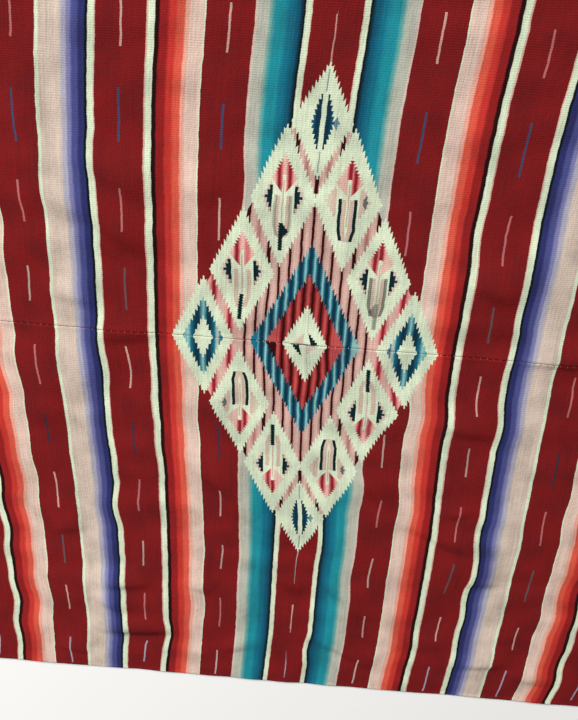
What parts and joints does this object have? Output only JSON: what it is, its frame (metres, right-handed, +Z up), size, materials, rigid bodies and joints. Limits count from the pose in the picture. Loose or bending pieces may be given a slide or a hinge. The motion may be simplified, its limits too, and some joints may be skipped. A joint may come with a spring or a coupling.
{
  "type": "mexican serape laid flat",
  "caption": "Striped wool serape with a central sawtooth diamond medallion, two loom widths sewn together, fringed at both ends, laid flat.",
  "frame": {"origin": "on the surface the cloth lies on, below the middle of the medallion, where the centre seam crosses the middle of the length", "axes": "+X along the warp from fringe to fringe, +Y along the weft and across the seam, +Z up out of the face"},
  "size_m": [2.3006, 1.2203, 0.008],
  "materials": {
    "tapestry_weave": "matt wool weft, ribbed over the warp",
    "warp_fringe": "matt twisted warp cords"
  },
  "bodies": {
    "root": {"panel_upper": "tapestry_weave", "panel_lower": "tapestry_weave", "fringe_left_upper": "warp_fringe", "fringe_left_lower": "warp_fringe", "fringe_right_upper": "warp_fringe", "fringe_right_lower": "warp_fringe"}
  },
  "joints": []
}
